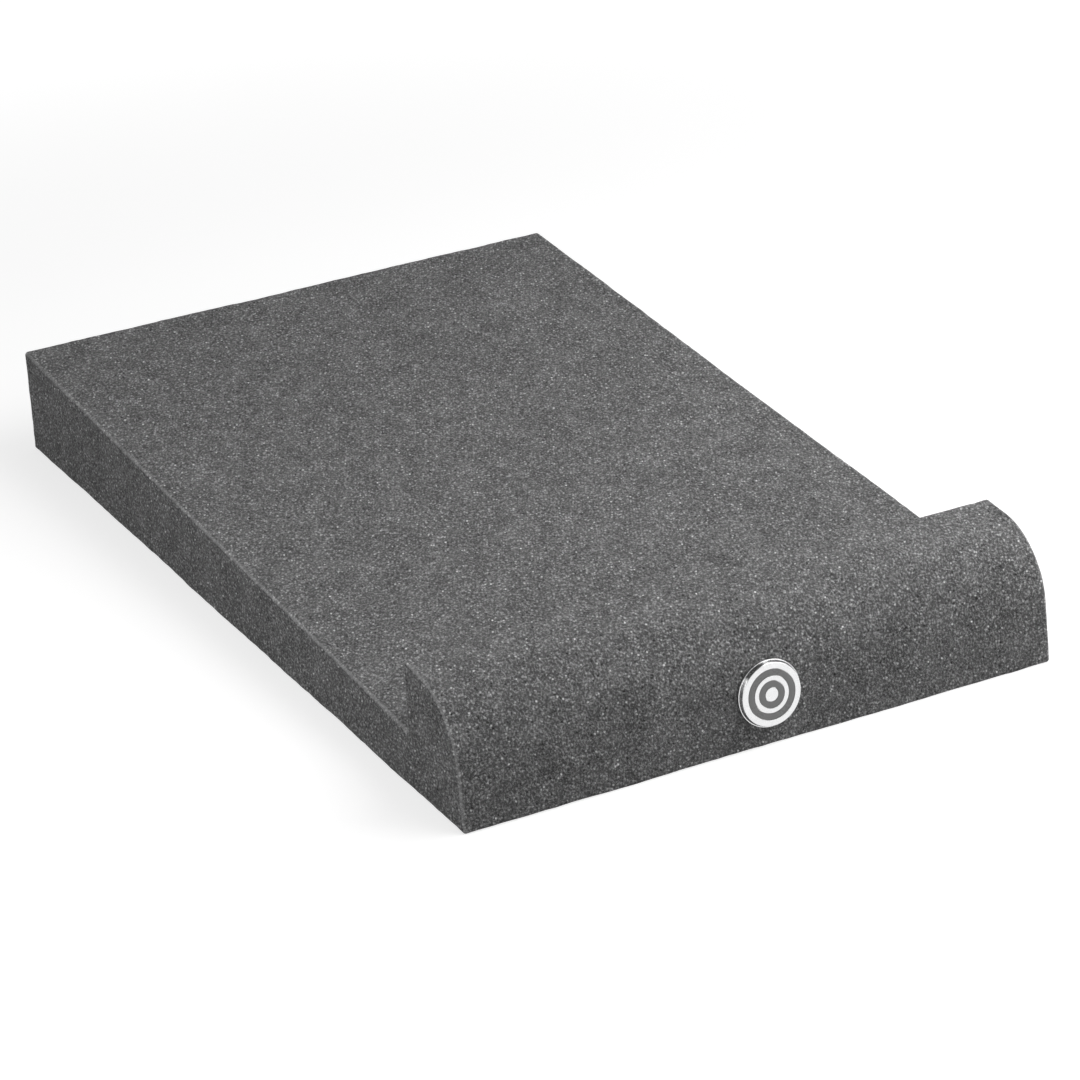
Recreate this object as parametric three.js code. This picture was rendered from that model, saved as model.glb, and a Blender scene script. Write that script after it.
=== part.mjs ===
// Foam isolation pad for a loudspeaker: one cut block of open-cell foam, a shallow wedge that slopes down
// from its thick back to a raised lip with a rounded front, and a small round metal badge on the lip.
// Millimetres, +Z up, +Y from the lip towards the thick back, origin at the middle of the underside.

import * as THREE from 'three';

// Foam block
const padWidth = 200;
const padLength = 330;
const backThickness = 36;
const bedFrontThickness = 18.7; // foam under the bed where it meets the lip
const lipDepth = 34; // from the front foot to the lip's rear wall
const lipHeight = 41.9; // at the top of the lip's rear wall
const frontLean = THREE.MathUtils.degToRad(5.25); // the lip's front leans back from the upright
const lipTopFall = THREE.MathUtils.degToRad(4.9); // the lip's top falls towards the front
const lipRadius = 24; // rounds the front into the top
const stepCornerRadius = 1; // left by the cutting wire at the foot of the lip's rear wall
const arcSteps = 24; // along each rounding of the outline

// Badge, a turned plate with a thin foot, a side that tapers to its face, a tape pocket at its back and two
// filled rings in its face
const badgeOffset = 2; // to the right of the pad's middle, seen from the front
const badgeHeight = 16.5; // centre of the badge's back above the underside
const badgeLean = THREE.MathUtils.degToRad(6.5);
const badgeRadius = 10.5;
const badgeFootWidth = 0.2; // the foot stands out from the side by this much
const badgeFootHeight = 0.3;
const badgeTaper = 0.5; // the side draws in by this much on its way to the face
const badgeEdgeRound = 0.25;
const badgeThickness = 1.7;
const badgeSteps = 72;
const edgeSteps = 4;

// Tape that holds the badge
const tapeRadius = 8;
const tapeThickness = 0.4;

// Colour fill in the badge's face
const outerRingRadius = 7.8;
const outerRingWidth = 1.9;
const innerRingRadius = 4.2;
const innerRingWidth = 1.9;
const fillDepth = 0.3;

// Clearances
const glueLine = 0.3; // between the foam, the tape and the plate
const pocketClearance = 0.6; // round the tape, in the plate's pocket
const fillClearance = 0.15; // round and under each colour fill

const foamMaterial = new THREE.MeshStandardMaterial({ color: 0x5f5f5f, roughness: 0.97, metalness: 0 });
const plateMaterial = new THREE.MeshStandardMaterial({ color: 0xe4e4e4, roughness: 0.22, metalness: 1 });
const fillMaterial = new THREE.MeshStandardMaterial({ color: 0x6c6c6c, roughness: 0.4, metalness: 0 });
const tapeMaterial = new THREE.MeshStandardMaterial({ color: 0x2a2a2a, roughness: 0.9, metalness: 0 });

// The largest radius that the lip's front and top leave room for, from the corner where they would meet.
function largestLipRadius() {
  const tilt = frontLean + lipTopFall;
  const rearAlongTop = (lipDepth * Math.cos(frontLean) - lipHeight * Math.sin(frontLean)) / Math.cos(tilt);
  const footAlongFront = (lipHeight * Math.cos(lipTopFall) - lipDepth * Math.sin(lipTopFall)) / Math.cos(tilt);
  return Math.min(rearAlongTop, footAlongFront) * Math.tan((Math.PI / 2 + tilt) / 2);
}

// Where the lip's arc has its centre: one radius inside both the front face and the top.
function lipArcCentre(radius) {
  const topOffset = radius + lipDepth * Math.sin(lipTopFall) - lipHeight * Math.cos(lipTopFall);
  const share = Math.cos(frontLean + lipTopFall);
  return new THREE.Vector2(
    (radius * Math.cos(lipTopFall) - topOffset * Math.sin(frontLean)) / share,
    (radius * Math.sin(lipTopFall) - topOffset * Math.cos(frontLean)) / share
  );
}

// The pad's side outline, with x back from the front foot and y up from the underside. The inner corner's
// arc touches the lip's rear wall and the bed.
function padOutline() {
  const radius = Math.min(lipRadius, largestLipRadius());
  const centre = lipArcCentre(radius);
  const bedSlope = Math.atan2(backThickness - bedFrontThickness, padLength - lipDepth);
  const cornerLift = stepCornerRadius * (Math.tan(bedSlope) + 1 / Math.cos(bedSlope));
  const outline = new THREE.Shape();
  outline.moveTo(padLength, 0);
  outline.lineTo(0, 0);
  outline.absarc(centre.x, centre.y, radius, Math.PI - frontLean, Math.PI / 2 + lipTopFall, true);
  outline.lineTo(lipDepth, lipHeight);
  outline.absarc(
    lipDepth + stepCornerRadius,
    bedFrontThickness + cornerLift,
    stepCornerRadius,
    Math.PI,
    Math.PI * 1.5 + bedSlope,
    false
  );
  outline.lineTo(padLength, backThickness);
  outline.closePath();
  return outline;
}

function foamPad(outline) {
  const geometry = new THREE.ExtrudeGeometry(outline, {
    depth: padWidth,
    curveSegments: arcSteps,
    bevelEnabled: false,
  });
  const back = new THREE.Vector3(0, 1, 0);
  const up = new THREE.Vector3(0, 0, 1);
  const right = new THREE.Vector3(1, 0, 0);
  geometry.applyMatrix4(new THREE.Matrix4().makeBasis(back, up, right));
  const pad = new THREE.Mesh(geometry, foamMaterial);
  pad.name = 'foam_pad';
  pad.position.set(-padWidth / 2, -padLength / 2, 0);
  return pad;
}

// A turned piece, its profile given as [radius, height] pairs from the back of the badge outwards.
function turned(name, profile, material) {
  const points = profile.map(([radius, height]) => new THREE.Vector2(radius, height));
  const piece = new THREE.Mesh(new THREE.LatheGeometry(points, badgeSteps), material);
  piece.name = name;
  return piece;
}

// The plate's side from its foot to its face, with a rounded edge where they meet.
function sideProfile() {
  const foot = new THREE.Vector2(badgeRadius - badgeFootWidth, badgeFootHeight);
  const corner = new THREE.Vector2(foot.x - badgeTaper, badgeThickness);
  const down = foot.clone().sub(corner).setLength(badgeEdgeRound);
  const edge = new THREE.QuadraticBezierCurve(
    corner.clone().add(down),
    corner,
    new THREE.Vector2(corner.x - badgeEdgeRound, corner.y)
  );
  return [foot, ...edge.getPoints(edgeSteps)].map((point) => [point.x, point.y]);
}

// A groove that takes a colour fill, from its outer wall to its inner wall.
function grooveProfile(radius, width) {
  const floor = badgeThickness - fillDepth - fillClearance;
  const outer = radius + fillClearance;
  const inner = radius - width - fillClearance;
  return [[outer, badgeThickness], [outer, floor], [inner, floor], [inner, badgeThickness]];
}

function badgePlate() {
  const pocketRadius = tapeRadius + pocketClearance;
  const pocketDepth = tapeThickness + glueLine;
  return turned('badge_plate', [
    [0, pocketDepth],
    [pocketRadius, pocketDepth],
    [pocketRadius, 0],
    [badgeRadius, 0],
    [badgeRadius, badgeFootHeight],
    ...sideProfile(),
    ...grooveProfile(outerRingRadius, outerRingWidth),
    ...grooveProfile(innerRingRadius, innerRingWidth),
    [0, badgeThickness],
  ], plateMaterial);
}

function colourFill(name, radius, width) {
  const floor = badgeThickness - fillDepth;
  return turned(name, [
    [radius - width, floor],
    [radius, floor],
    [radius, badgeThickness],
    [radius - width, badgeThickness],
    [radius - width, floor],
  ], fillMaterial);
}

function badgeTape() {
  return turned('badge_tape', [
    [0, 0],
    [tapeRadius, 0],
    [tapeRadius, tapeThickness],
    [0, tapeThickness],
  ], tapeMaterial);
}

// The badge lies along the foam: its back plane is one glue line outside the furthest that the outline
// reaches in the direction that the badge faces.
function badge(outline) {
  const reach = Math.max(...outline.getPoints(arcSteps).map(
    (point) => point.y * Math.sin(badgeLean) - point.x * Math.cos(badgeLean)
  ));
  const seat = (badgeHeight * Math.sin(badgeLean) - reach - glueLine) / Math.cos(badgeLean);
  const assembly = new THREE.Group();
  assembly.add(badgeTape());
  assembly.add(badgePlate());
  assembly.add(colourFill('badge_outer_ring', outerRingRadius, outerRingWidth));
  assembly.add(colourFill('badge_inner_ring', innerRingRadius, innerRingWidth));
  assembly.position.set(badgeOffset, seat - padLength / 2, badgeHeight);
  assembly.rotation.x = Math.PI - badgeLean;
  return assembly;
}

const outline = padOutline();
const isolationPad = new THREE.Group();
isolationPad.add(foamPad(outline));
isolationPad.add(badge(outline));

export default isolationPad;
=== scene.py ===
import math

import bpy
import numpy as np
from mathutils import Matrix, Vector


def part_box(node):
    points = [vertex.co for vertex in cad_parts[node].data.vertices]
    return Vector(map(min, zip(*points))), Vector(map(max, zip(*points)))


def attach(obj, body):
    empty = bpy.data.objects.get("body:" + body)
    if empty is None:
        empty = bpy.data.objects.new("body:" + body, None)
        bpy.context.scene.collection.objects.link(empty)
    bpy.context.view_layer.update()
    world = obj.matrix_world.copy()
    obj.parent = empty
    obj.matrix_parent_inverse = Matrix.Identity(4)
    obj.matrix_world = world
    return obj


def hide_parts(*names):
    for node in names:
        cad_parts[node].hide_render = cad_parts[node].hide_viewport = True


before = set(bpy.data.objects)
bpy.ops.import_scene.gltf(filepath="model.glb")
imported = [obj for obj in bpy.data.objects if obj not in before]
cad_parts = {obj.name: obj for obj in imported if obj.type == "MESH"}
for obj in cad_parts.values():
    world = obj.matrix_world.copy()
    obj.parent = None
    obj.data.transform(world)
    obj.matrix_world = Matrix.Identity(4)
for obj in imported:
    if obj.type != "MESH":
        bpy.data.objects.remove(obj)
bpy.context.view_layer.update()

# Speaker isolation pad: a sloping block of charcoal open-cell foam with a round-fronted lip, and a small
# round metal badge on the lip. Metres, +Z up, +Y from the lip to the thick back.


# Camera
view = {
    "place": (-0.55179, -1.12663, 0.58596),
    "turn": -26.57,         # degrees about +Z, from looking along +Y
    "tilt": 65.04,          # degrees up from looking straight down
    "roll": -3.08,
    "lens": 141.62,
    "sensor": 36.0,
    "nearest": 0.05,
    "furthest": 60,
}


def makeCamera():
    data = bpy.data.cameras.new("photoView")
    data.lens = view["lens"]
    data.sensor_width = view["sensor"]
    data.clip_start = view["nearest"]
    data.clip_end = view["furthest"]
    camera = bpy.data.objects.new("photoView", data)
    bpy.context.scene.collection.objects.link(camera)
    turn = np.radians(view["turn"])
    tilt = np.radians(view["tilt"])
    roll = np.radians(view["roll"])
    zTurn = np.array([[np.cos(turn), -np.sin(turn), 0], [np.sin(turn), np.cos(turn), 0], [0, 0, 1]])
    xTilt = np.array([[1, 0, 0], [0, np.cos(tilt), -np.sin(tilt)], [0, np.sin(tilt), np.cos(tilt)]])
    zRoll = np.array([[np.cos(roll), -np.sin(roll), 0], [np.sin(roll), np.cos(roll), 0], [0, 0, 1]])
    matrix = np.eye(4)
    matrix[:3, :3] = zTurn @ xTilt @ zRoll
    matrix[:3, 3] = view["place"]
    camera.matrix_world = Matrix(matrix.tolist())
    bpy.context.scene.camera = camera


# Shapes worked out as arrays
leastArcSteps = 4


def roundedPath(corners, radii, spacing, closed=True):
    # Straight runs joined by arcs. At a corner that turns by t, the arc of radius r starts r tan(t / 2)
    # before the corner, and its points are the start plus r times the change of the normal. Gives the
    # points and the normals on the left of the travel. The last run back to the start is left out.
    corners = np.array(corners, float)
    arrive = corners - np.roll(corners, 1, axis=0)
    arrive /= np.linalg.norm(arrive, axis=1)[:, None]
    leave = np.roll(arrive, -1, axis=0)
    if not closed:
        arrive[0] = leave[0]
        leave[-1] = arrive[-1]
    points, normals = [], []
    for corner, radius, into, out in zip(corners, radii, arrive, leave):
        turn = math.atan2(into[0] * out[1] - into[1] * out[0], into @ out)
        side = -1.0 if turn > 0 else 1.0
        steps = max(leastArcSteps, math.ceil(abs(turn) * radius / spacing))
        angle = np.linspace(0, turn, steps + 1) if radius else np.array([turn / 2])
        normal = np.stack([
            -into[1] * np.cos(angle) - into[0] * np.sin(angle),
            into[0] * np.cos(angle) - into[1] * np.sin(angle),
        ], axis=1)
        start = corner - into * radius * math.tan(abs(turn) / 2)
        arc = start + side * radius * (normal - normal[0])
        if points:
            last = points[-1][-1]
            runSteps = max(1, math.ceil(np.linalg.norm(start - last) / spacing))
            share = np.arange(1, runSteps)[:, None] / runSteps
            points.append(last + share * (start - last))
            normals.append(np.tile([-into[1], into[0]], (runSteps - 1, 1)))
        points.append(arc)
        normals.append(normal)
    return np.concatenate(points), np.concatenate(normals)


def softNoise(points, cell, seed):
    # Random numbers on a lattice of the given cell, blended between the eight lattice points round each
    # place: the sum of each value times the product of three smooth steps.
    scaled = (points - points.min(axis=0)) / cell
    base = np.floor(scaled).astype(int)
    part = scaled - base
    part = part * part * (3 - 2 * part)
    lattice = np.random.default_rng(seed).uniform(-1, 1, base.max(axis=0) + 2)
    total = np.zeros(len(points))
    for corner in np.ndindex(2, 2, 2):
        place = base + np.array(corner)
        weight = np.prod(np.where(np.array(corner) == 1, part, 1 - part), axis=1)
        total += weight * lattice[place[:, 0], place[:, 1], place[:, 2]]
    return total


def meshFrom(name, points, quads, triangles):
    mesh = bpy.data.meshes.new(name)
    corners = np.concatenate([quads.ravel(), triangles.ravel()]).astype(np.int32)
    sizes = np.concatenate([np.full(len(quads), 4), np.full(len(triangles), 3)])
    starts = np.concatenate([[0], np.cumsum(sizes)[:-1]]).astype(np.int32)
    mesh.vertices.add(len(points))
    mesh.vertices.foreach_set("co", points.astype(np.float32).ravel())
    mesh.loops.add(len(corners))
    mesh.loops.foreach_set("vertex_index", corners)
    mesh.polygons.add(len(sizes))
    mesh.polygons.foreach_set("loop_start", starts)
    mesh.polygons.foreach_set("use_smooth", np.ones(len(sizes), bool))
    mesh.update(calc_edges=True)
    mesh.validate()
    return mesh


def addPiece(name, mesh, material, nodes):
    piece = bpy.data.objects.new(name, mesh)
    bpy.context.scene.collection.objects.link(piece)
    mesh.materials.append(material)
    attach(piece, "root")
    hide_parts(*nodes)
    return piece


# Shader helpers
def addNode(tree, kind, settings=None, **inputs):
    # an input goes by its label, or by its number as input0, input1 and so on
    node = tree.nodes.new(kind)
    for key, value in (settings or {}).items():
        setattr(node, key, value)
    for key, value in inputs.items():
        label = int(key.removeprefix("input")) if key.startswith("input") else key
        if isinstance(value, bpy.types.NodeSocket):
            tree.links.new(value, node.inputs[label])
        else:
            node.inputs[label].default_value = value
    return node


def mathNode(tree, operation, first, second):
    return addNode(tree, "ShaderNodeMath", {"operation": operation}, input0=first, input1=second).outputs[0]


def remap(tree, value, low, high, toLow=0.0, toHigh=1.0):
    settings = {"interpolation_type": "SMOOTHSTEP"}
    node = addNode(tree, "ShaderNodeMapRange", settings, input0=value, input1=low, input2=high,
                   input3=toLow, input4=toHigh)
    return node.outputs[0]


def startGroup(name, inputs, outputs):
    # inputs maps each socket's name to its default; each output is a plain value
    group = bpy.data.node_groups.new(name, "ShaderNodeTree")
    for label, value in inputs.items():
        kind = "NodeSocketVector" if label == "Vector" else "NodeSocketFloat"
        socket = group.interface.new_socket(name=label, in_out="INPUT", socket_type=kind)
        if label != "Vector":
            socket.default_value = value
    for label in outputs:
        group.interface.new_socket(name=label, in_out="OUTPUT", socket_type="NodeSocketFloat")
    return group, group.nodes.new("NodeGroupInput").outputs, group.nodes.new("NodeGroupOutput").inputs


def placeGroup(tree, group, **inputs):
    return addNode(tree, "ShaderNodeGroup", {"node_tree": group}, **inputs).outputs


def startMaterial(name):
    material = bpy.data.materials.new(name)
    material.use_nodes = True
    tree = material.node_tree
    tree.nodes.clear()
    output = tree.nodes.new("ShaderNodeOutputMaterial")
    shader = tree.nodes.new("ShaderNodeBsdfPrincipled")
    tree.links.new(shader.outputs["BSDF"], output.inputs["Surface"])
    place = addNode(tree, "ShaderNodeTexCoord").outputs["Object"]
    return material, tree, shader, place


def addBump(tree, shader, height, strength, depth):
    bump = addNode(tree, "ShaderNodeBump", None, Strength=strength, Distance=depth, Height=height)
    tree.links.new(bump.outputs["Normal"], shader.inputs["Normal"])


def greyTint(tree, grey, shade):
    # a grey multiplied by a shade that changes over the surface
    return addNode(tree, "ShaderNodeMix", {"data_type": "RGBA", "blend_type": "MULTIPLY"}, input0=1.0,
                   input6=grey, input7=shade).outputs[2]


# Open cells: round blobs of random brightness, threads between them, pores painted dark as shade in
# the holes, stray skins with a painted glint and soft cloudy patches
grain = {
    "blob": (0.15, 0.75),       # distances from a cell's middle where its blob starts to fade and ends
    "blobPower": 2.2,           # few blobs are bright
    "fineScale": 1.3,           # fine grain, to the cells
    "fineDetail": 2.0,
    "fineRoughness": 0.65,
    "wallScale": 0.8,           # walls, to the cells
    "wall": (0.02, 0.2),        # distances from a wall where its thread starts to fade and ends
    "threadBreaks": (0.42, 0.62),
    "poreScale": 0.62,
    "pore": (0.12, 0.42),
    "poreLuck": (0.35, 0.8),    # which cells hold a pore
    "fleck": (0.12, 0.5),
    "fleckLuck": (0.87, 0.97),  # which cells hold a skin with a painted glint
    "cloudScale": 0.11,
    "cloudDetail": 3.0,
    "cloudRoughness": 0.6,
    "leastShade": 0.1,
}
millimetre = 1000.0             # a scale at which one cell is 1 mm


def noiseNode(tree, place, scale, detail, roughness):
    # a noise about 0.5, as a plain value
    return addNode(tree, "ShaderNodeTexNoise", None, Vector=place, Scale=scale, Detail=detail,
                   Roughness=roughness).outputs[0]


def cellLuck(tree, cells):
    # random numbers, one set to each cell
    return addNode(tree, "ShaderNodeSeparateColor", input0=cells.outputs["Color"]).outputs


def foamCellsGroup():
    group, given, made = startGroup(
        "foamCells",
        {"Vector": None, "Cell": 0.8, "Blob": 0.6, "Thread": 0.3, "Grain": 0.5, "Pore": 0.4, "Fleck": 0.8,
         "Cloud": 0.1, "Power": 1.5},
        ["Shade", "Height"],
    )
    place = given["Vector"]
    scale = mathNode(group, "DIVIDE", millimetre, given["Cell"])
    fineScale = mathNode(group, "MULTIPLY", scale, grain["fineScale"])
    wallScale = mathNode(group, "MULTIPLY", scale, grain["wallScale"])
    poreScale = mathNode(group, "MULTIPLY", scale, grain["poreScale"])
    cloudScale = mathNode(group, "MULTIPLY", scale, grain["cloudScale"])

    blobs = addNode(group, "ShaderNodeTexVoronoi", {"feature": "F1"}, Vector=place, Scale=scale)
    toMiddle = blobs.outputs["Distance"]
    luck = cellLuck(group, blobs)
    roundness = remap(group, toMiddle, *grain["blob"], 1.0, 0.0)
    blobLight = mathNode(group, "MULTIPLY", roundness, mathNode(group, "POWER", luck[0], grain["blobPower"]))
    # painted glint: a few cells hold a small bright round skin
    fleckGlint = mathNode(group, "MULTIPLY", remap(group, toMiddle, *grain["fleck"], 1.0, 0.0),
                          remap(group, luck[1], *grain["fleckLuck"]))

    fine = noiseNode(group, place, fineScale, grain["fineDetail"], grain["fineRoughness"])
    fineGrain = mathNode(group, "SUBTRACT", fine, 0.5)
    walls = addNode(group, "ShaderNodeTexVoronoi", {"feature": "DISTANCE_TO_EDGE"}, Vector=place,
                    Scale=wallScale).outputs["Distance"]
    threads = mathNode(group, "MULTIPLY", remap(group, walls, *grain["wall"], 1.0, 0.0),
                       remap(group, fine, *grain["threadBreaks"]))

    # painted shade: some cells hold a dark round pore, the shade inside a hole
    pores = addNode(group, "ShaderNodeTexVoronoi", {"feature": "F1"}, Vector=place, Scale=poreScale)
    poreShade = mathNode(group, "MULTIPLY", remap(group, pores.outputs["Distance"], *grain["pore"], 1.0, 0.0),
                        remap(group, cellLuck(group, pores)[0], *grain["poreLuck"]))

    cloud = noiseNode(group, place, cloudScale, grain["cloudDetail"], grain["cloudRoughness"])
    cloudShade = mathNode(group, "MULTIPLY", mathNode(group, "SUBTRACT", cloud, 0.5), given["Cloud"])

    height = mathNode(group, "ADD", mathNode(group, "MULTIPLY", blobLight, given["Blob"]),
                      mathNode(group, "MULTIPLY", fineGrain, given["Grain"]))
    height = mathNode(group, "ADD", height, mathNode(group, "MULTIPLY", threads, given["Thread"]))
    height = mathNode(group, "SUBTRACT", height, mathNode(group, "MULTIPLY", poreShade, given["Pore"]))
    shade = mathNode(group, "ADD", height, mathNode(group, "MULTIPLY", fleckGlint, given["Fleck"]))
    shade = mathNode(group, "ADD", mathNode(group, "ADD", shade, cloudShade), 1.0)
    shade = mathNode(group, "POWER", mathNode(group, "MAXIMUM", shade, grain["leastShade"]), given["Power"])
    group.links.new(shade, made["Shade"])
    group.links.new(height, made["Height"])
    return group


# Fine speckle of a blasted or moulded surface, with faint wiping marks
speckle = {
    "dotDetail": 2.0,
    "dotRoughness": 0.7,
    "markScale": 0.06,          # wiping marks, to the dots
    "markDetail": 3.0,
    "markRoughness": 0.6,
    "markGloss": 2.0,           # marks change the roughness more than the shade
}


def speckleGroup():
    group, given, made = startGroup(
        "fineSpeckle",
        {"Vector": None, "Size": 0.3, "Strength": 0.1, "Marks": 0.1},
        ["Shade", "Rough", "Height"],
    )
    place = given["Vector"]
    scale = mathNode(group, "DIVIDE", millimetre, given["Size"])
    markScale = mathNode(group, "MULTIPLY", scale, speckle["markScale"])
    dots = noiseNode(group, place, scale, speckle["dotDetail"], speckle["dotRoughness"])
    dots = mathNode(group, "SUBTRACT", dots, 0.5)
    marks = noiseNode(group, place, markScale, speckle["markDetail"], speckle["markRoughness"])
    marks = mathNode(group, "SUBTRACT", marks, 0.5)
    dotted = mathNode(group, "MULTIPLY", dots, given["Strength"])
    wiped = mathNode(group, "MULTIPLY", marks, given["Marks"])
    shade = mathNode(group, "ADD", mathNode(group, "ADD", dotted, wiped), 1.0)
    rough = mathNode(group, "ADD", mathNode(group, "MULTIPLY", wiped, speckle["markGloss"]), dotted)
    group.links.new(shade, made["Shade"])
    group.links.new(rough, made["Rough"])
    group.links.new(dots, made["Height"])
    return group


foamCells = foamCellsGroup()
fineSpeckle = speckleGroup()
print("node groups made")


# Foam block
pad = {
    "backThickness": 0.036,
    "bedFrontThickness": 0.0187,
    "lipDepth": 0.034,
    "frontLean": 5.25,          # degrees
    "lipTopFall": 4.9,          # degrees
    "lipRadius": 0.024,
    "stepRadius": 0.001,
    "edgeRadius": 0.0009,       # worn edges along the outline
    "sideRounding": 0.001,      # worn edges between the outline and the two cut sides
    "spacing": 0.0015,
    "capRows": 20,
    "capLipReach": 0.025,       # how far back the lines under the lip's top reach on the underside
    "capBackReach": 0.026,      # and how far in front of the back those under its top edge do
    "roundingSteps": 5,
    "sag": 0.012,               # share of the bed's thickness lost half way along
    # cell, height and seed of each wave
    "waves": [(0.045, 0.00020, 3), (0.018, 0.00008, 5), (0.0055, 0.00005, 7), (0.003, 0.00009, 9)],
    "badgeClear": 0.013,        # round the badge's middle, where the foam is never proud
    "base": (0.0952, 0.0952, 0.0957, 1),
    "cellStretch": 1.8,         # the cells are longer the way the foam rose
    "riseTurn": -26.6,          # degrees about +Z, from +Y
    "riseTilt": -25.0,          # degrees up from level
    "edgeHighlight": 1.8,            # edges carry a painted highlight, paler by this share, for light through their thin struts
    "edgeCalm": 0.35,           # and keep this share of the grain
    "edgeStart": (0.2, 0.3),    # how far sideways a normal points where the painted pale edge starts, and its ramp
    "edgeEnd": (0.99, 0.08),    # and where it ends
    "edgeDown": 0.3,            # it fades out as the normal turns down by this much
    "grain": {"Cell": 0.87, "Blob": 1.08, "Thread": 0.6, "Grain": 1.25, "Pore": 0.45, "Fleck": 1.5,
              "Cloud": 0.75, "Power": 1.7},
    "roughness": (0.5, 3.0, 0.97, 0.7),     # from a pore's painted shade to a skin's painted glint
    "specular": 0.25,
    "sheen": 0.08,
    "sheenRoughness": 0.6,
    "bump": 0.6,
    "bumpDepth": 0.0004,
    "fill": 0.95,               # how full the foam is, from 0, slack, to 1, tight
}


def padCorners():
    low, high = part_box("foam_pad")
    length = high[1] - low[1]
    lean = math.radians(pad["frontLean"])
    fall = math.radians(pad["lipTopFall"])
    # the lip's front, y = z tan(lean), meets its top, z = top + y tan(fall)
    top = high[2] - pad["lipDepth"] * math.tan(fall)
    meet = top / (1 - math.tan(lean) * math.tan(fall))
    corners = [
        (0, 0),
        (meet * math.tan(lean), meet),
        (pad["lipDepth"], high[2]),
        (pad["lipDepth"], pad["bedFrontThickness"]),
        (length, pad["backThickness"]),
        (length, 0),
    ]
    edge = pad["edgeRadius"]
    return corners, [edge, pad["lipRadius"], edge, pad["stepRadius"], edge, edge]


def padSurface():
    # The outline is carried along X. Near each cut side it draws in by r (1 - sin t) while X runs
    # r (1 - cos t), a quarter circle. Each cut side is ruled between the outline's upper curve and its
    # underside.
    low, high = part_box("foam_pad")
    corners, radii = padCorners()
    upper, upperNormal = roundedPath(corners, radii, pad["spacing"])
    edge = pad["edgeRadius"]
    count = len(upper)
    run = np.concatenate([[0], np.cumsum(np.linalg.norm(np.diff(upper, axis=0), axis=1))])
    lipTop = run[np.argmax(upper[:, 1])]
    lipFoot = run[np.argmin(np.hypot(upper[:, 0] - corners[3][0], upper[:, 1] - corners[3][1]))]
    backTop = run[np.argmin(np.hypot(upper[:, 0] - corners[4][0], upper[:, 1] - corners[4][1]))]
    underAt = np.interp(run, [0, lipTop, lipFoot, backTop, run[-1]], [
        edge, pad["capLipReach"], pad["lipDepth"], corners[4][0] - pad["capBackReach"],
        corners[5][0] - edge,
    ])
    under = np.stack([underAt, np.zeros(count)], axis=1)
    underNormal = np.tile([0.0, -1.0], (count, 1))
    loop = np.concatenate([upper, under[count - 2:0:-1]])
    loopNormal = np.concatenate([upperNormal, underNormal[count - 2:0:-1]])
    loopCount = len(loop)

    turn = np.linspace(0, math.pi / 2, pad["roundingSteps"])
    rounding = pad["sideRounding"]
    half = (high[0] - low[0]) / 2
    straightSteps = math.ceil(2 * (half - rounding) / pad["spacing"])
    straight = np.linspace(rounding - half, half - rounding, straightSteps + 1)[1:-1]
    nearSide = -half + rounding * (1 - np.cos(turn))
    across = np.concatenate([nearSide, straight, -nearSide[::-1]])
    inset = np.concatenate([rounding * (1 - np.sin(turn)), np.zeros(len(straight)),
                            rounding * (1 - np.sin(turn[::-1]))])
    stations = len(across)
    section = loop[None] - loopNormal[None] * inset[:, None, None]
    sideways = np.broadcast_to(across[:, None, None], (stations, loopCount, 1))
    wall = np.concatenate([sideways, section], axis=2)

    index = np.arange(stations * loopCount).reshape(stations, loopCount)
    right = np.roll(index, -1, axis=1)
    quads = [np.stack([index[:-1], index[1:], right[1:], right[:-1]], axis=2).reshape(-1, 4)]
    points = [wall.reshape(-1, 3)]
    triangles = []
    rows = pad["capRows"]
    for station, flip in ((0, True), (stations - 1, False)):
        topRow = index[station, :count]
        underRow = np.concatenate([[topRow[0]], index[station, :count - 1:-1], [topRow[-1]]])
        first = sum(len(p) for p in points)
        inner = first + np.arange((rows - 1) * (count - 2)).reshape(rows - 1, count - 2)
        share = np.arange(1, rows)[:, None, None] / rows
        topPoints = wall[station, :count]
        underOrder = np.concatenate([[0], np.arange(loopCount - 1, count - 1, -1), [count - 1]])
        underPoints = wall[station][underOrder]
        points.append(((1 - share) * topPoints[1:-1] + share * underPoints[1:-1]).reshape(-1, 3))
        grid = np.concatenate([topRow[None, 1:-1], inner, underRow[None, 1:-1]])
        cap = np.stack([grid[:-1, :-1], grid[1:, :-1], grid[1:, 1:], grid[:-1, 1:]], axis=2).reshape(-1, 4)
        start = np.full(rows, topRow[0])
        end = np.full(rows, topRow[-1])
        fans = np.concatenate([
            np.stack([start, grid[1:, 0], grid[:-1, 0]], axis=1),
            np.stack([end, grid[:-1, -1], grid[1:, -1]], axis=1),
        ])
        quads.append(cap[:, ::-1] if flip else cap)
        triangles.append(fans[:, ::-1] if flip else fans)
    points = np.concatenate(points)
    points[:, 1] += low[1]
    return points, np.concatenate(quads), np.concatenate(triangles)


def readNormals(mesh):
    normals = np.empty(len(mesh.vertices) * 3, np.float32)
    mesh.vertex_normals.foreach_get("vector", normals)
    return normals.reshape(-1, 3).astype(float)


def markEdgeHighlight(mesh):
    # The rounding between the outline and a cut side is where the normal points partly sideways: 1 there,
    # 0 on the flat faces, and fading out on the edges that face down. This mask places the painted highlight
    # that makes the upper edges paler.
    normals = readNormals(mesh)
    sideways = np.abs(normals[:, 0])
    start, startRamp = pad["edgeStart"]
    end, endRamp = pad["edgeEnd"]
    rises = np.clip((sideways - start) / startRamp, 0, 1) * np.clip((end - sideways) / endRamp, 0, 1)
    upward = np.clip(normals[:, 2] / pad["edgeDown"] + 1, 0, 1)
    attribute = mesh.attributes.new("edge", "FLOAT", "POINT")
    attribute.data.foreach_set("value", (rises * upward).astype(np.float32))


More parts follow.
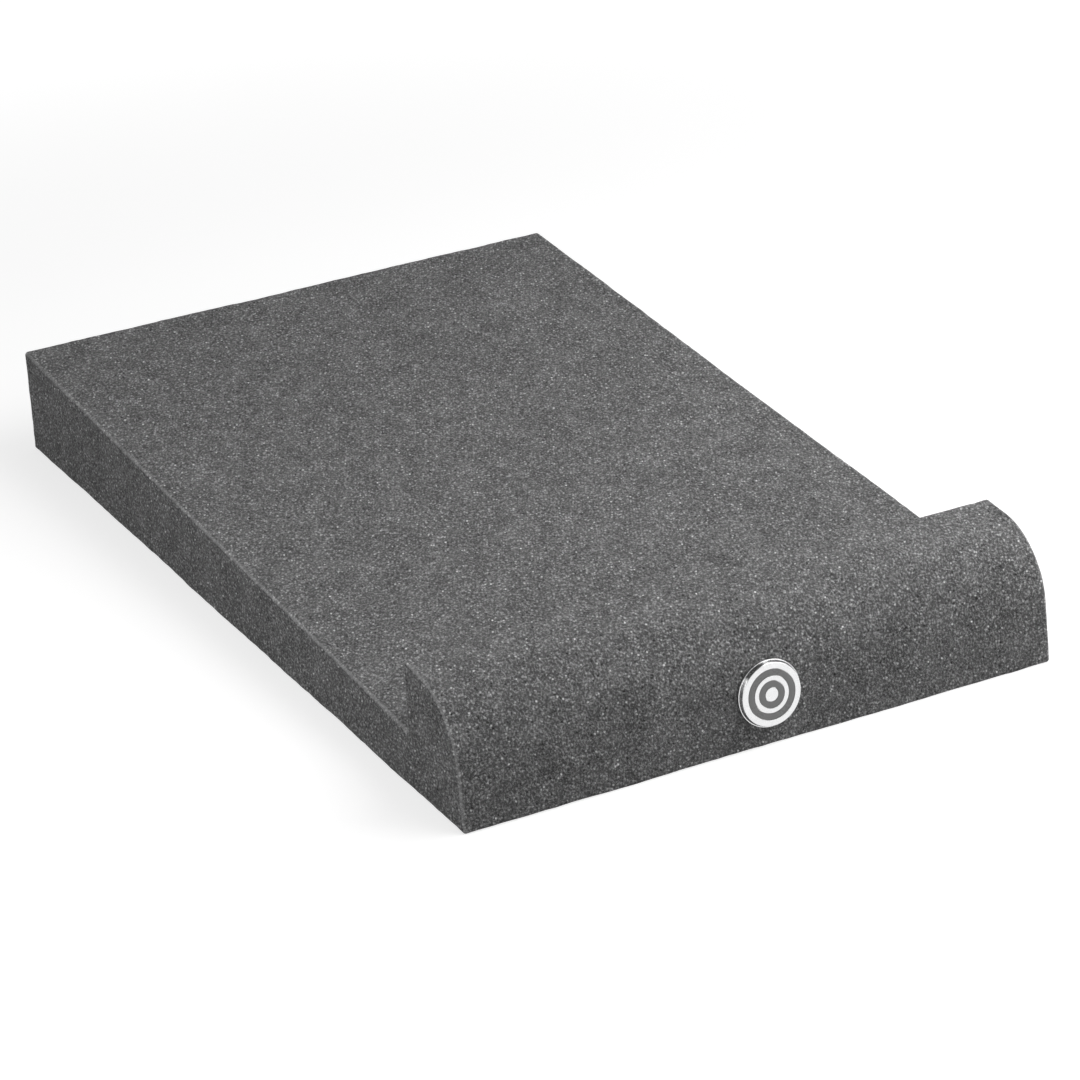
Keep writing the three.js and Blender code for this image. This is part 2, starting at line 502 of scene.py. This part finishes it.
def roughenPad(mesh):
    # Cut foam is never quite flat. The bed sags half way along by a share of its height, as sin squared of
    # the way, and every face waves a little along its normal. The underside stays on the floor.
    low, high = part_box("foam_pad")
    count = len(mesh.vertices)
    points = np.empty(count * 3, np.float32)
    mesh.vertices.foreach_get("co", points)
    points = points.reshape(-1, 3).astype(float)
    normals = readNormals(mesh)
    bedStart = low[1] + pad["lipDepth"]
    along = np.clip((points[:, 1] - bedStart) / (high[1] - bedStart), 0, 1)
    points[:, 2] *= 1 - pad["sag"] * np.sin(math.pi * along) ** 2
    push = sum(size * softNoise(points, cell, seed) for cell, size, seed in pad["waves"])
    badgeLow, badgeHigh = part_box("badge_plate")
    badgeMiddle = np.array((badgeLow + badgeHigh) / 2)
    distance = np.linalg.norm(points - badgeMiddle, axis=1)
    near = 1 - np.clip(distance / pad["badgeClear"] - 1, 0, 1)
    push = push * (1 - near) + near * np.minimum(push, 0)
    points += normals * push[:, None]
    points[:, 2] = np.maximum(points[:, 2], 0)
    mesh.vertices.foreach_set("co", points.astype(np.float32).ravel())
    mesh.update()


def foamMaterial():
    material, tree, shader, place = startMaterial("charcoalFoam")
    rise = (math.radians(pad["riseTilt"]), 0, math.radians(pad["riseTurn"]))
    stretched = addNode(tree, "ShaderNodeMapping", {"vector_type": "TEXTURE"}, Vector=place, Rotation=rise,
                        Scale=(1, pad["cellStretch"], 1)).outputs["Vector"]
    cells = placeGroup(tree, foamCells, Vector=stretched, **pad["grain"])
    # painted highlight: the upper edges are paler, for light shining through their thin struts, and their
    # grain calmer
    edge = addNode(tree, "ShaderNodeAttribute", {"attribute_name": "edge"}).outputs["Fac"]
    paintedEdgeHighlight = mathNode(tree, "ADD", mathNode(tree, "MULTIPLY", edge, pad["edgeHighlight"]), 1.0)
    calm = remap(tree, edge, 0.0, 1.0, 1.0, pad["edgeCalm"])
    contrast = mathNode(tree, "MULTIPLY", mathNode(tree, "SUBTRACT", cells["Shade"], 1.0), calm)
    shade = mathNode(tree, "MULTIPLY", mathNode(tree, "ADD", contrast, 1.0), paintedEdgeHighlight)
    tree.links.new(greyTint(tree, pad["base"], shade), shader.inputs["Base Color"])
    tree.links.new(remap(tree, cells["Shade"], *pad["roughness"]), shader.inputs["Roughness"])
    shader.inputs["Specular IOR Level"].default_value = pad["specular"]
    shader.inputs["Sheen Weight"].default_value = pad["sheen"]
    shader.inputs["Sheen Roughness"].default_value = pad["sheenRoughness"]
    addBump(tree, shader, cells["Height"], pad["bump"], pad["bumpDepth"])
    return material


def makePad():
    points, quads, triangles = padSurface()
    mesh = meshFrom("foamBlock", points, quads, triangles)
    markEdgeHighlight(mesh)
    roughenPad(mesh)
    piece = addPiece("foamBlock", mesh, foamMaterial(), ["foam_pad"])
    print("foam block:", len(mesh.vertices), "vertices,", 2 * len(quads) + len(triangles), "triangles")


# Badge
badge = {
    "lean": 6.5,                # degrees
    "side": 0.0105,
    "thickness": 0.0017,
    "faceRadius": 0.0098,
    "faceEdge": 0.00028,
    "footHeight": 0.0003,       # a thin flange round the back, from which the side tapers to the face
    "footWidth": 0.0002,
    "footEdge": 0.00013,
    "pocketRadius": 0.0086,
    "pocketDepth": 0.0007,
    "ringRadii": {"badge_outer_ring": 0.0078, "badge_inner_ring": 0.0042},
    "ringWidth": 0.0019,
    "fillDepth": 0.0003,
    "fillClearance": 0.00015,
    "fillCrown": 0.00004,       # the colour stands slightly proud at its middle
    "smallEdge": 0.00006,
    "spacing": 0.00025,
    "segments": 192,
    "sharpAngle": 40,           # degrees
    "backDepth": 1e-5,          # the plate's points this near its furthest back count as its back
    "crownSteps": 13,
    "face": (0.75, 0.75, 0.755, 1),
    "faceGrain": {"Size": 0.4, "Strength": 0.5, "Marks": 0.08},
    "faceRoughness": 0.3,
    "sideRoughness": 0.2,
    "faceBlend": (0.00008, 0.00002),    # below the face, where its finish starts and is whole
    "faceBump": 0.05,
    "faceBumpDepth": 0.0001,
    "colour": (0.19, 0.19, 0.19, 1),
    "colourGrain": {"Size": 0.5, "Strength": 0.10, "Marks": 0.12},
    "colourRoughness": 0.3,
}


def badgePlace():
    # The back's middle: the centre of the points of the plate that lie furthest back along its axis
    lean = math.radians(badge["lean"])
    axis = np.array([0, -math.cos(lean), math.sin(lean)])
    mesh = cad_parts["badge_plate"].data
    points = np.empty(len(mesh.vertices) * 3, np.float32)
    mesh.vertices.foreach_get("co", points)
    points = points.reshape(-1, 3).astype(float)
    along = points @ axis
    back = points[along < along.min() + badge["backDepth"]]
    return (back.min(axis=0) + back.max(axis=0)) / 2, axis


def turnedSurface(profile):
    # A profile of radius and height goes round the badge's axis: middle + height x axis + radius x (cos t
    # across + sin t up). Where the radius is 0 the ring is one point.
    middle, axis = badgePlace()
    right = np.array([1.0, 0, 0])
    up = np.cross(right, axis)
    segments = badge["segments"]
    turn = np.arange(segments) * 2 * math.pi / segments
    spoke = np.cos(turn)[:, None] * right + np.sin(turn)[:, None] * up
    rings = middle + profile[:, 1, None, None] * axis + profile[:, 0, None, None] * spoke[None]
    return rings, middle, axis


def turnedMesh(name, profile, closed):
    rings, middle, axis = turnedSurface(profile)
    if closed:
        index = np.arange(len(profile) * badge["segments"]).reshape(len(profile), badge["segments"])
        follow = np.roll(index, -1, axis=0)
        points = rings.reshape(-1, 3)
        body = (index, follow)
        triangles = np.zeros((0, 3), int)
    else:
        inner = rings[1:-1]
        index = np.arange(len(inner) * badge["segments"]).reshape(len(inner), badge["segments"])
        poles = middle + profile[[0, -1], 1][:, None] * axis
        points = np.concatenate([inner.reshape(-1, 3), poles])
        body = (index[:-1], index[1:])
        first = np.full(badge["segments"], len(points) - 2)
        last = np.full(badge["segments"], len(points) - 1)
        triangles = np.concatenate([
            np.stack([first, np.roll(index[0], -1), index[0]], axis=1),
            np.stack([last, index[-1], np.roll(index[-1], -1)], axis=1),
        ])
    lower, higher = body
    quads = np.stack([lower, np.roll(lower, -1, axis=1), np.roll(higher, -1, axis=1), higher],
                     axis=2).reshape(-1, 4)
    mesh = meshFrom(name, points, quads, triangles)
    mesh.set_sharp_from_angle(angle=math.radians(badge["sharpAngle"]))
    return mesh


def plateProfile():
    side, top, small = badge["side"], badge["thickness"], badge["smallEdge"]
    corners = [(0, badge["pocketDepth"]), (badge["pocketRadius"], badge["pocketDepth"]),
               (badge["pocketRadius"], 0), (side, 0), (side, badge["footHeight"]),
               (side - badge["footWidth"], badge["footHeight"]), (badge["faceRadius"], top)]
    radii = [0, small, small, small, badge["footEdge"], small, badge["faceEdge"]]
    floor = top - badge["fillDepth"] - badge["fillClearance"]
    for radius in badge["ringRadii"].values():
        outer = radius + badge["fillClearance"]
        inner = radius - badge["ringWidth"] - badge["fillClearance"]
        corners += [(outer, top), (outer, floor), (inner, floor), (inner, top)]
        radii += [small, 0, 0, small]
    corners.append((0, top))
    radii.append(0)
    return roundedPath(corners, radii, badge["spacing"], closed=False)[0]


def fillProfile(radius):
    # a ring of colour, its top crowned as a parabola across its width
    top = badge["thickness"]
    floor = top - badge["fillDepth"]
    width = badge["ringWidth"]
    across = np.linspace(1, -1, badge["crownSteps"])
    crown = top - badge["fillCrown"] * (across ** 2)
    face = np.stack([radius - width / 2 + across * width / 2, crown], axis=1)
    base = np.array([[radius - width, floor], [radius, floor]])
    return np.concatenate([base, face])


def metalMaterial():
    material, tree, shader, place = startMaterial("satinPlate")
    finish = placeGroup(tree, fineSpeckle, Vector=place, **badge["faceGrain"])
    tree.links.new(greyTint(tree, badge["face"], finish["Shade"]), shader.inputs["Base Color"])
    # the face is satin and the side smoother: the height along the badge's axis is the mask
    middle, axis = badgePlace()
    alongAxis = addNode(tree, "ShaderNodeVectorMath", {"operation": "DOT_PRODUCT"}, input0=place,
                        input1=tuple(axis)).outputs["Value"]
    faceAt = float(middle @ axis) + badge["thickness"]
    blendStart, blendEnd = badge["faceBlend"]
    onFace = remap(tree, alongAxis, faceAt - blendStart, faceAt - blendEnd)
    plain = remap(tree, onFace, 0.0, 1.0, badge["sideRoughness"], badge["faceRoughness"])
    rough = mathNode(tree, "ADD", plain, finish["Rough"])
    tree.links.new(rough, shader.inputs["Roughness"])
    shader.inputs["Metallic"].default_value = 1.0
    addBump(tree, shader, finish["Height"], badge["faceBump"], badge["faceBumpDepth"])
    return material


def colourMaterial():
    material, tree, shader, place = startMaterial("greyFill")
    finish = placeGroup(tree, fineSpeckle, Vector=place, **badge["colourGrain"])
    tree.links.new(greyTint(tree, badge["colour"], finish["Shade"]), shader.inputs["Base Color"])
    rough = mathNode(tree, "ADD", finish["Rough"], badge["colourRoughness"])
    tree.links.new(rough, shader.inputs["Roughness"])
    return material


# Tape under the badge
tape = {
    "base": (0.023, 0.023, 0.023, 1),
    "grain": {"Cell": 0.25, "Blob": 0.5, "Thread": 0.3, "Grain": 0.5, "Pore": 0.4, "Fleck": 0.2,
              "Cloud": 0.1},
    "roughness": (0.5, 1.8, 0.95, 0.75),
    "bump": 0.3,
    "bumpDepth": 0.0001,
}


def tapeMaterial():
    material, tree, shader, place = startMaterial("blackTape")
    cells = placeGroup(tree, foamCells, Vector=place, **tape["grain"])
    tree.links.new(greyTint(tree, tape["base"], cells["Shade"]), shader.inputs["Base Color"])
    tree.links.new(remap(tree, cells["Shade"], *tape["roughness"]), shader.inputs["Roughness"])
    addBump(tree, shader, cells["Height"], tape["bump"], tape["bumpDepth"])
    return material


def makeBadge():
    plate = turnedMesh("badgePlate", plateProfile(), False)
    addPiece("badgePlate", plate, metalMaterial(), ["badge_plate"])
    colour = colourMaterial()
    for node, label in (("badge_outer_ring", "outerRing"), ("badge_inner_ring", "innerRing")):
        mesh = turnedMesh(label, fillProfile(badge["ringRadii"][node]), True)
        addPiece(label, mesh, colour, [node])
    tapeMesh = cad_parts["badge_tape"].data
    tapeMesh.materials.clear()
    tapeMesh.materials.append(tapeMaterial())
    print("badge: plate, two rings and tape")


# Floor, surroundings and lamps
studio = {
    "floorSize": 40.0,
    "floorColour": (0.48, 0.48, 0.48, 1),
    "floorGlow": (0.68, 1.0),   # near the pad and far away, seen but lighting nothing
    "glowFrom": (0.3, 0.9),     # distances from the pad's middle where the first ends and the second starts
    "ambient": 0.3,
    "sky": (0.25, 0.6, 1.0, 0.06),      # what metal mirrors, from low down to overhead
    "lamps": [
        # name, place, aim, size, watts
        ("key", (0.28, -0.23, 0.4), (0.0, -0.1, 0.0), 0.6, 3.0),
        ("left", (-0.45, -0.1, 0.2), (-0.1, -0.12, 0.0), 0.3, 0.42),
    ],
}


def makeFloor():
    half = studio["floorSize"] / 2
    points = np.array([(-half, -half, 0), (half, -half, 0), (half, half, 0), (-half, half, 0)])
    mesh = meshFrom("floor", points, np.array([[0, 1, 2, 3]]), np.zeros((0, 3), int))
    floor = bpy.data.objects.new("floor", mesh)
    bpy.context.scene.collection.objects.link(floor)
    material = bpy.data.materials.new("paleFloor")
    material.use_nodes = True
    tree = material.node_tree
    tree.nodes.clear()
    paint = addNode(tree, "ShaderNodeBsdfDiffuse", None, Color=studio["floorColour"])
    path = addNode(tree, "ShaderNodeLightPath").outputs
    seen = mathNode(tree, "MAXIMUM", path["Is Camera Ray"], path["Is Glossy Ray"])
    seen = mathNode(tree, "MAXIMUM", seen, path["Is Transmission Ray"])
    place = addNode(tree, "ShaderNodeTexCoord").outputs["Object"]
    away = addNode(tree, "ShaderNodeVectorMath", {"operation": "LENGTH"}, input0=place).outputs["Value"]
    level = remap(tree, away, *studio["glowFrom"], *studio["floorGlow"])
    glow = addNode(tree, "ShaderNodeEmission", None, Strength=mathNode(tree, "MULTIPLY", seen, level))
    both = addNode(tree, "ShaderNodeAddShader", None, input0=paint.outputs[0], input1=glow.outputs[0])
    output = addNode(tree, "ShaderNodeOutputMaterial", None, Surface=both.outputs[0])
    output.is_active_output = True
    mesh.materials.append(material)


def makeWorld():
    # even grey light; the camera and clear pieces see white, and metal sees white low down and a dark
    # studio overhead
    world = bpy.data.worlds.new("studio")
    bpy.context.scene.world = world
    world.use_nodes = True
    tree = world.node_tree
    tree.nodes.clear()
    path = addNode(tree, "ShaderNodeLightPath").outputs
    direction = addNode(tree, "ShaderNodeTexCoord").outputs["Generated"]
    up = addNode(tree, "ShaderNodeSeparateXYZ", None, Vector=direction).outputs["Z"]
    overhead = remap(tree, up, *studio["sky"])
    seen = mathNode(tree, "MAXIMUM", path["Is Camera Ray"], path["Is Transmission Ray"])
    plain = addNode(tree, "ShaderNodeBackground", None, Color=(1, 1, 1, 1), Strength=studio["ambient"])
    glossy = addNode(tree, "ShaderNodeBackground", None, Color=(1, 1, 1, 1), Strength=overhead)
    white = addNode(tree, "ShaderNodeBackground", None, Color=(1, 1, 1, 1), Strength=1.0)
    first = addNode(tree, "ShaderNodeMixShader", None, input0=path["Is Glossy Ray"], input1=plain.outputs[0],
                    input2=glossy.outputs[0])
    second = addNode(tree, "ShaderNodeMixShader", None, input0=seen, input1=first.outputs[0],
                     input2=white.outputs[0])
    addNode(tree, "ShaderNodeOutputWorld", None, Surface=second.outputs[0])


def makeLamps():
    for name, place, aim, size, watts in studio["lamps"]:
        data = bpy.data.lights.new(name, "AREA")
        data.shape = "SQUARE"
        data.size = size
        data.energy = watts
        lamp = bpy.data.objects.new(name, data)
        bpy.context.scene.collection.objects.link(lamp)
        away = np.array(place, float) - np.array(aim, float)
        away /= np.linalg.norm(away)
        side = np.cross([0, 0, 1.0], away)
        side /= np.linalg.norm(side)
        matrix = np.eye(4)
        matrix[:3, 0] = side
        matrix[:3, 1] = np.cross(away, side)
        matrix[:3, 2] = away
        matrix[:3, 3] = place
        lamp.matrix_world = Matrix(matrix.tolist())
        lamp.visible_camera = False


makeCamera()
makePad()
makeBadge()
makeFloor()
makeWorld()
makeLamps()
bpy.context.scene.view_settings.view_transform = "Standard"
print("studio made")
